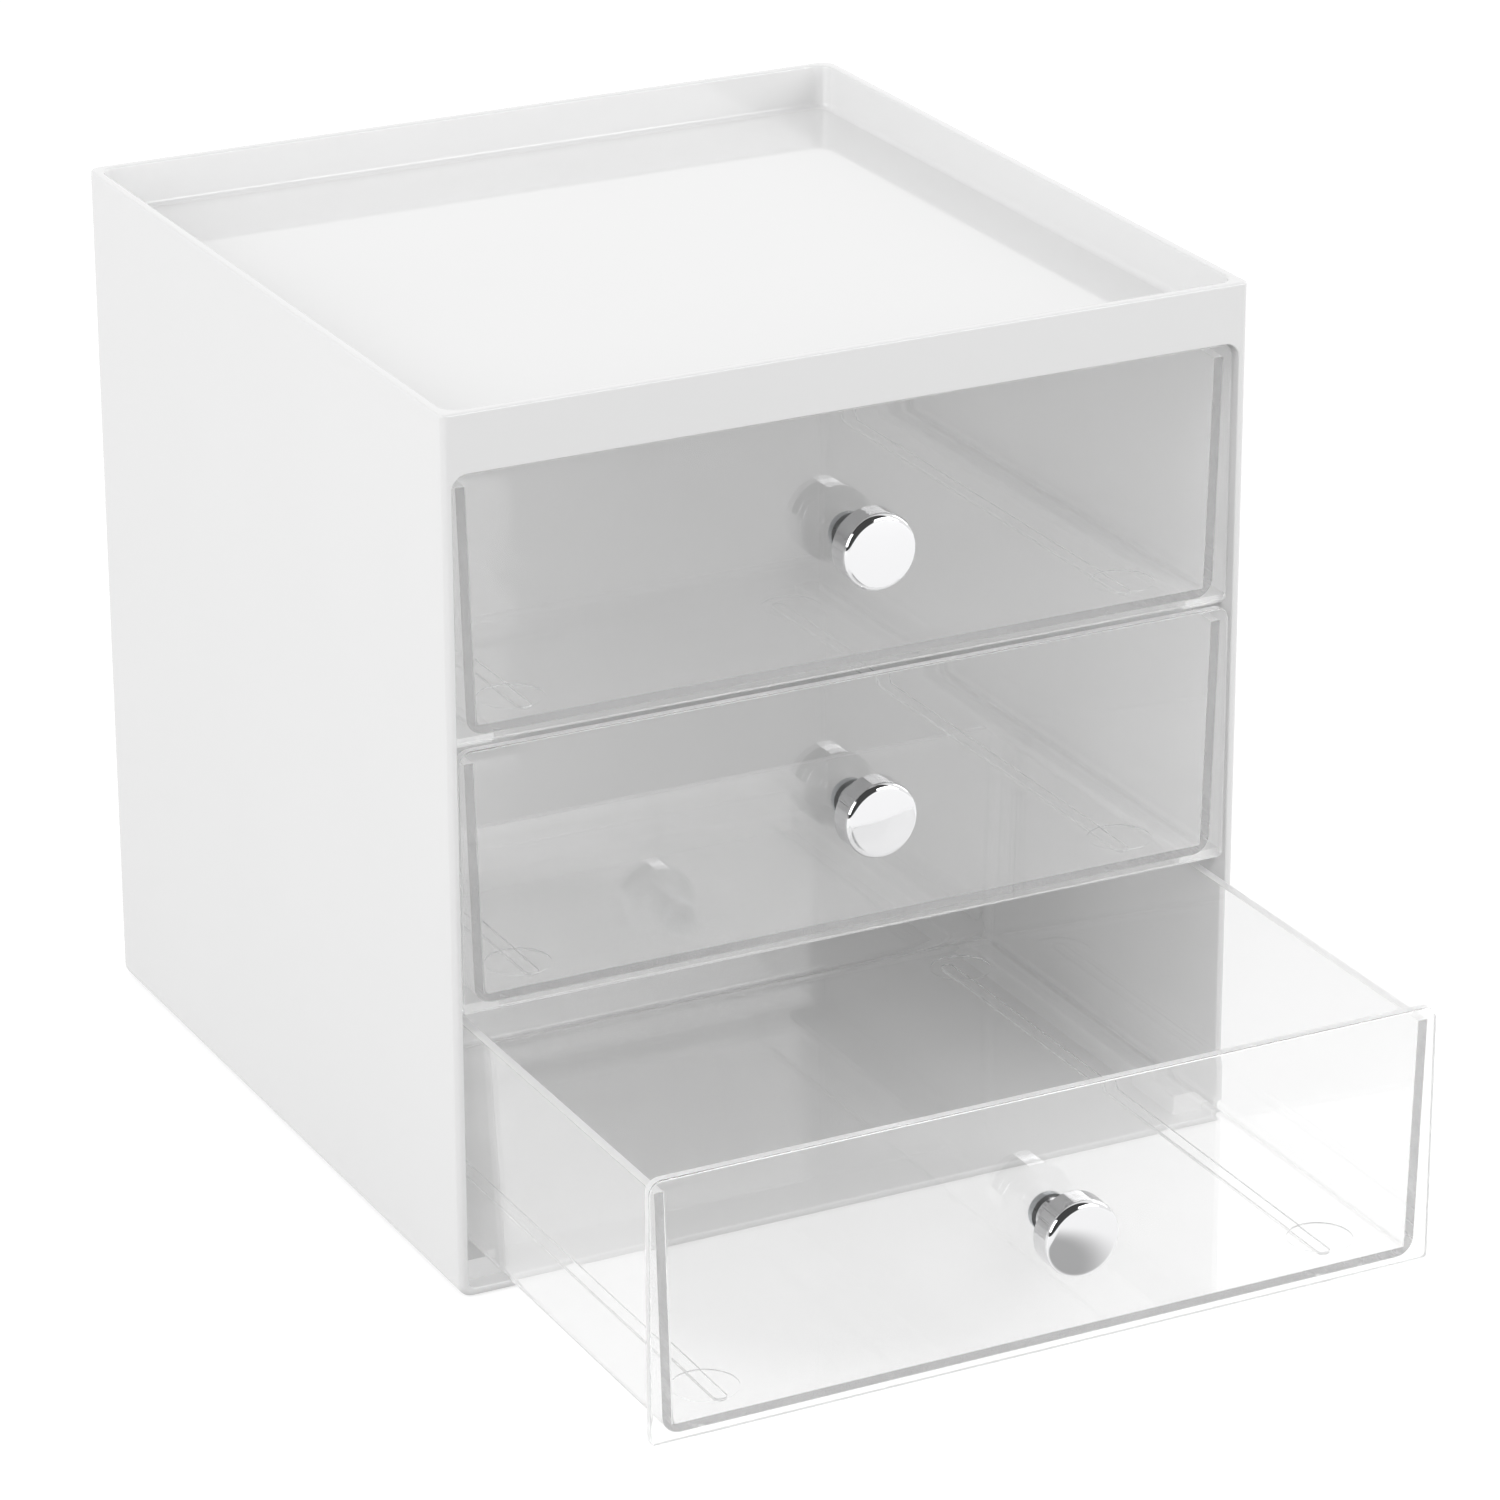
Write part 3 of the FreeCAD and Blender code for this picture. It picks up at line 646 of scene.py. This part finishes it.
class ORGANIZER_OT_knobs(bpy.types.Operator):
    """Turns the three chrome knobs and the screws that hold them"""

    bl_idname = "organizer.knobs"
    bl_label = "Knobs and screws"

    def execute(self, context):
        s = context.scene.organizer_knob
        panel = context.scene.organizer_drawer.panel
        chrome = bright_chrome(context.scene.organizer_stage.chrome)
        zinc = zinc_steel(context.scene.organizer_stage.zinc)
        for row in ROWS:
            low, high = (Vector(c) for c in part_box("knob_" + row))
            seat = (0, high.y, (low.z + high.z) / 2)
            knob = make_mesh("chrome_knob_" + row, turned(self.knob_outline(s), s.sides))
            screw = make_mesh("knob_screw_" + row, turned(self.screw_outline(s, panel), 64))
            self.cross_recess(screw, s, panel)
            for piece, node, finish, slot in ((knob, "knob_" + row, chrome, "chrome"),
                                              (screw, "screw_" + row, zinc, "zinc_steel")):
                piece.data.materials.append(finish)
                smooth(piece, 40)
                piece.location = seat
                context.view_layer.update()
                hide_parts(node)
                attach(piece, "drawer_" + row)
        return {"FINISHED"}

    def knob_outline(self, s):
        """Half outline of a knob, from its bore to the middle of its face."""
        bore = s.bore / 2
        neck = s.neck / 2
        rim = s.diameter / 2
        shoulder = -(s.reach - s.head)
        face = -s.reach
        points = [(0, -s.bore_depth), (bore, -s.bore_depth), (bore, 0), (neck, 0)]
        points += corner((neck + s.throat, shoulder + s.throat), s.throat, 180, 270)
        points += corner((rim - s.back_edge, shoulder - s.back_edge), s.back_edge, 90, 0)
        points += corner((rim - s.edge, face + s.edge), s.edge, 0, -90)
        # The face is a shallow cap of a ball, drawn in from its edge to its middle.
        flat = rim - s.edge
        ball = (flat ** 2 + s.dome ** 2) / (2 * s.dome)
        steps = 16
        for k in range(1, steps + 1):
            r = flat * (1 - k / steps)
            points.append((r, face - s.dome + ball - (ball ** 2 - r ** 2) ** 0.5))
        return points

    def screw_outline(self, s, panel):
        """Half outline of a pan-head screw, from its tip to the middle of its head."""
        shank, head = s.shank / 2, s.screw_head / 2
        tip, crown = -s.shank_depth, panel + s.screw_height
        bevel = 0.6 * MM
        points = [(0, tip), (shank - bevel, tip), (shank, tip + bevel), (shank, panel), (head, panel)]
        points += corner((head - s.head_edge, crown - s.head_edge), s.head_edge, 0, 90)
        points.append((0, crown))
        return points

    def cross_recess(self, screw, s, panel):
        """Cuts the cross recess of the screw's head, narrower at its foot."""
        crown = panel + s.screw_height
        foot = crown - s.recess_depth
        foot_share = 0.45
        for turn in (0, 90):
            shape = block((-s.recess / 2, foot, -s.recess_width / 2),
                          (s.recess / 2, crown + 1.8 * MM, s.recess_width / 2))
            for vert in shape.verts:
                if close_to(vert.co.y, foot):
                    vert.co.x *= foot_share
            bmesh.ops.rotate(shape, verts=shape.verts, cent=(0, 0, 0),
                             matrix=Matrix.Rotation(math.radians(turn), 3, "Y"))
            combine(screw, make_mesh("recess_tool", shape), "DIFFERENCE")


class StageSettings(bpy.types.PropertyGroup):
    """Colours of the clear and metal pieces, and the studio around the object."""

    tint: colour("Clear plastic", "Tint of the clear plastic", "#FCFCFC")
    chrome: colour("Chrome", "Colour of the chrome plating", "#E6E6E7")
    zinc: colour("Zinc", "Colour of the screws' zinc plating", "#B4B8BB")
    floor: colour("Floor", "Colour of the studio floor", "#BEBEBE")
    lens: FloatProperty(name="Lens", description="Focal length of the camera in millimetres",
                        default=153.3, min=10.0)
    lamp: FloatProperty(name="Lamp level", description="Level of the lamps as a whole", default=1.0,
                        min=0.0)


# Each lamp's name, place, aim, width and height, and power in watts. All are wide and soft.
LAMPS = (
    ("lamp_left", (-1.5, -0.2, 0.75), (0, 0, 0.1), (0.9, 0.9), 11.5),
    ("lamp_front", (0.9, -1.5, 0.75), (0, 0, 0.1), (0.9, 0.9), 10.5),
    ("lamp_right", (1.5, 0.1, 0.75), (0, 0, 0.1), (0.9, 0.9), 4.0),
    ("lamp_back", (0.8, 1.6, 0.9), (0, 0, 0.16), (1.8, 1.0), 2.1),
)
# How bright the white surroundings are to what looks at them, and for the light that they give.
SEEN_LEVEL, LIGHT_LEVEL = 1.0, 0.61
# The unlit side of the studio lies up to the front left. It ends between these two cosines.
UNLIT_SIDE = Vector((-0.45, -0.62, 0.64)).normalized()
UNLIT_OUTER, UNLIT_INNER = 0.40, 0.50
UNLIT_LEVEL = 0.07
# The paper's own glow for what looks at it, and the painted shadow on it before the open drawer.
PAPER_GLOW = 0.64
PAINTED_SHADOW_CENTRE = (-0.012, -0.222, 0)
PAINTED_SHADOW_INNER, PAINTED_SHADOW_OUTER = 0.035, 0.06


class ORGANIZER_OT_stage(bpy.types.Operator):
    """Sets the floor, the soft studio light and the camera"""

    bl_idname = "organizer.stage"
    bl_label = "Stage"

    def execute(self, context):
        s = context.scene.organizer_stage
        self.floor(s)
        self.world(context)
        for name, place, aim, size, power in LAMPS:
            self.lamp(context, name, place, aim, size, power * s.lamp)
        self.camera(context, s)
        # Light crosses the clear walls lengthwise by many inner reflections before it leaves.
        paths = context.scene.cycles
        paths.max_bounces = 20
        paths.transmission_bounces = 20
        paths.glossy_bounces = 20
        paths.transparent_max_bounces = 32
        context.scene.view_settings.view_transform = "Standard"
        return {"FINISHED"}

    def lamp(self, context, name, place, aim, size, power):
        """A soft lamp that faces a point."""
        data = bpy.data.lights.new(name, "AREA")
        data.shape = "RECTANGLE"
        data.size, data.size_y = size
        data.energy = power
        item = bpy.data.objects.new(name, data)
        context.scene.collection.objects.link(item)
        item.location = place
        way = Vector(aim) - Vector(place)
        item.rotation_euler = way.to_track_quat("-Z", "Y").to_euler()

    def floor(self, s):
        """A wide pale floor that takes the object's shadow."""
        half_width = 3.0
        shape = bmesh.new()
        bmesh.ops.create_grid(shape, x_segments=1, y_segments=1, size=half_width)
        floor = make_mesh("studio_floor", shape)
        floor.location.z = -0.2 * MM  # just clear of the case's base
        material, tree, shader = new_material("studio_paper")
        set_sockets(shader, Roughness=0.9, Specular_IOR_Level=0.0, Base_Color=opaque(s.floor))
        set_sockets(shader, Emission_Color=WHITE)
        # What looks at the paper sees it white; the light that it gives stays plain.
        seen = seen_rays(tree, (-400, 0))
        # Painted shadow: a dark patch before the open drawer, seen in gloss alone, stands in for the
        # drawer's shade on the paper and darkens the lowest knob's face.
        where = add_node(tree, "ShaderNodeTexCoord", (-800, -300))
        away = add_node(tree, "ShaderNodeVectorMath", (-600, -300), [(where.outputs["Object"], 0)],
                        operation="DISTANCE")
        away.inputs[1].default_value = PAINTED_SHADOW_CENTRE
        painted_shadow = add_node(tree, "ShaderNodeMapRange", (-400, -300), [(away.outputs["Value"], "Value")],
                         interpolation_type="SMOOTHSTEP", From_Min=PAINTED_SHADOW_INNER,
                         From_Max=PAINTED_SHADOW_OUTER, To_Min=0.0, To_Max=PAPER_GLOW)
        path = add_node(tree, "ShaderNodeLightPath", (-400, -600))
        level = add_node(tree, "ShaderNodeMix", (-200, -300),
                         [(path.outputs["Is Glossy Ray"], "Factor"), (painted_shadow.outputs[0], "B")],
                         A=PAPER_GLOW)
        glow = add_node(tree, "ShaderNodeMath", (0, -200),
                        [(seen.outputs[0], 0), (level.outputs[0], 1)], operation="MULTIPLY")
        tree.links.new(glow.outputs[0], shader.inputs["Emission Strength"])
        floor.data.materials.append(material)

    def world(self, context):
        """White surroundings, dimmer for the light they give, with a dark side that metal shows."""
        world = bpy.data.worlds.new("studio_room")
        context.scene.world = world
        world.use_nodes = True
        tree = world.node_tree
        tree.nodes.clear()
        seen = seen_rays(tree, (-600, 0))
        level = add_node(tree, "ShaderNodeMapRange", (0, 0), [(seen.outputs[0], "Value")],
                         To_Min=LIGHT_LEVEL, To_Max=SEEN_LEVEL)
        # The unlit side shows only in gloss.
        where = add_node(tree, "ShaderNodeTexCoord", (-600, -300))
        facing = add_node(tree, "ShaderNodeVectorMath", (-400, -300),
                          [(where.outputs["Generated"], 0)], operation="DOT_PRODUCT")
        facing.inputs[1].default_value = UNLIT_SIDE
        unlit = add_node(tree, "ShaderNodeMapRange", (-200, -300), [(facing.outputs["Value"], "Value")],
                         From_Min=UNLIT_OUTER, From_Max=UNLIT_INNER, To_Min=1.0, To_Max=UNLIT_LEVEL)
        path = add_node(tree, "ShaderNodeLightPath", (-200, -600))
        shade = add_node(tree, "ShaderNodeMix", (0, -300),
                         [(path.outputs["Is Glossy Ray"], "Factor"), (unlit.outputs[0], "B")],
                         A=1.0)
        strength = add_node(tree, "ShaderNodeMath", (200, 0),
                            [(level.outputs[0], 0), (shade.outputs[0], 1)], operation="MULTIPLY")
        air = add_node(tree, "ShaderNodeBackground", (400, 0), [(strength.outputs[0], "Strength")],
                       Color=WHITE)
        add_node(tree, "ShaderNodeOutputWorld", (600, 0), [(air.outputs[0], "Surface")])

    def camera(self, context, s):
        """The camera, which looks down on the front and the left side."""
        azimuth, elevation, roll = math.radians(-27.0), math.radians(22.11), math.radians(-0.18)
        distance = 1.244
        aim = Vector((0.0086, -0.024, 0.0713))
        back = Vector((math.sin(azimuth) * math.cos(elevation),
                       -math.cos(azimuth) * math.cos(elevation), math.sin(elevation)))
        right = Vector((math.cos(azimuth), math.sin(azimuth), 0))
        up = back.cross(right)
        right, up = (right * math.cos(roll) + up * math.sin(roll),
                     up * math.cos(roll) - right * math.sin(roll))
        data = bpy.data.cameras.new("camera")
        data.lens = s.lens
        data.sensor_width = 36.0
        data.clip_end = 50.0
        item = bpy.data.objects.new("camera", data)
        context.scene.collection.objects.link(item)
        turn = Matrix((right, up, back)).transposed().to_4x4()
        item.matrix_world = Matrix.Translation(aim + back * distance) @ turn
        context.scene.camera = item


class ORGANIZER_PT_panel(bpy.types.Panel):
    """Lists the settings and the steps that build the organizer"""

    bl_idname = "ORGANIZER_PT_panel"
    bl_label = "Drawer organizer"
    bl_space_type = "VIEW_3D"
    bl_region_type = "UI"
    bl_category = "Organizer"

    def draw(self, context):
        for title, group, steps in SECTIONS:
            box = self.layout.box()
            box.label(text=title)
            settings = getattr(context.scene, group)
            for key in settings.__annotations__:
                box.prop(settings, key)
            for step in steps:
                box.operator(step)


SECTIONS = (
    ("Case", "organizer_case", ("organizer.case",)),
    ("Drawers", "organizer_drawer", ("organizer.drawers",)),
    ("Knobs and screws", "organizer_knob", ("organizer.knobs",)),
    ("Stage", "organizer_stage", ("organizer.stage",)),
)
GROUPS = {
    "organizer_case": CaseSettings,
    "organizer_drawer": DrawerSettings,
    "organizer_knob": KnobSettings,
    "organizer_stage": StageSettings,
}
CLASSES = tuple(GROUPS.values()) + (
    ORGANIZER_OT_case,
    ORGANIZER_OT_drawers,
    ORGANIZER_OT_knobs,
    ORGANIZER_OT_stage,
    ORGANIZER_PT_panel,
)


def register():
    """Registers the classes and gives the scene their settings."""
    for item in CLASSES:
        bpy.utils.register_class(item)
    for name, group in GROUPS.items():
        setattr(bpy.types.Scene, name, PointerProperty(type=group))


def unregister():
    """Takes the settings and the classes away again."""
    for name in GROUPS:
        delattr(bpy.types.Scene, name)
    for item in reversed(CLASSES):
        bpy.utils.unregister_class(item)


def main():
    """Builds every piece in order."""
    register()
    for _, _, steps in SECTIONS:
        for step in steps:
            package, action = step.split(".")
            getattr(getattr(bpy.ops, package), action)()
    bpy.context.view_layer.update()


if __name__ == "__main__":
    main()
